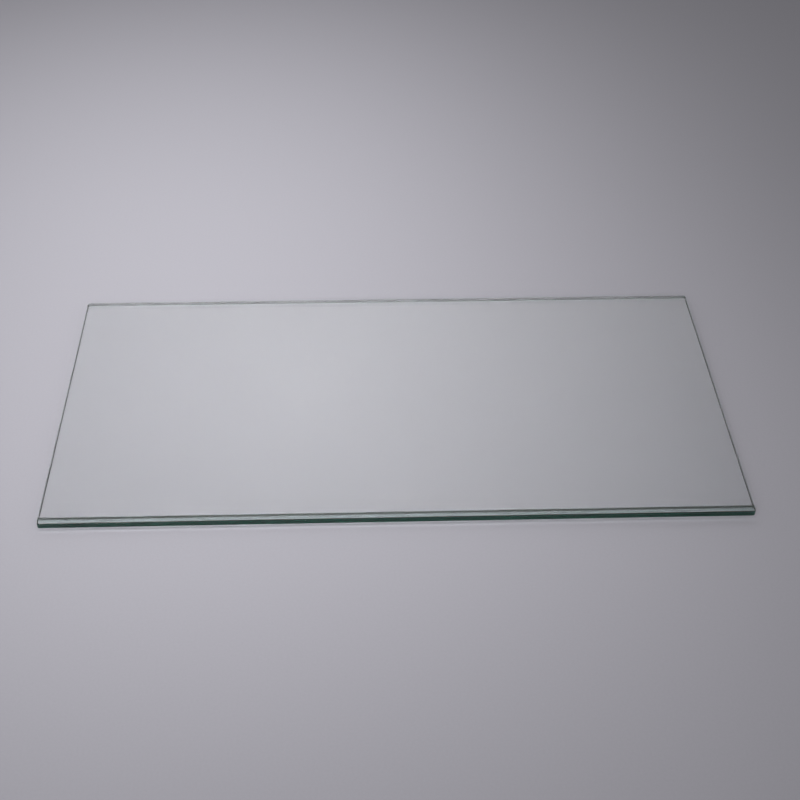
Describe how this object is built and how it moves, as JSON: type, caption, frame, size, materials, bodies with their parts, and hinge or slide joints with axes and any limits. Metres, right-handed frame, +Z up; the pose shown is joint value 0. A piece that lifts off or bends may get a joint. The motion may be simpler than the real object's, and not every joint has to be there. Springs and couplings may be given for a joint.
{
  "type": "fridge glass shelf",
  "caption": "Flat rectangular pane of clear toughened glass with ground edges and a shallow rebate under its front edge, laid on ledges inside a fridge as a shelf.",
  "frame": {"origin": "on the underside, at the middle of the pane", "axes": "+X along the front edge to the right, +Y from the front edge to the back edge, +Z up out of the upper face"},
  "size_m": [0.43, 0.226, 0.006],
  "materials": {
    "float_glass": "polished"
  },
  "bodies": {
    "root": {"glass_shelf": "float_glass"}
  },
  "joints": []
}
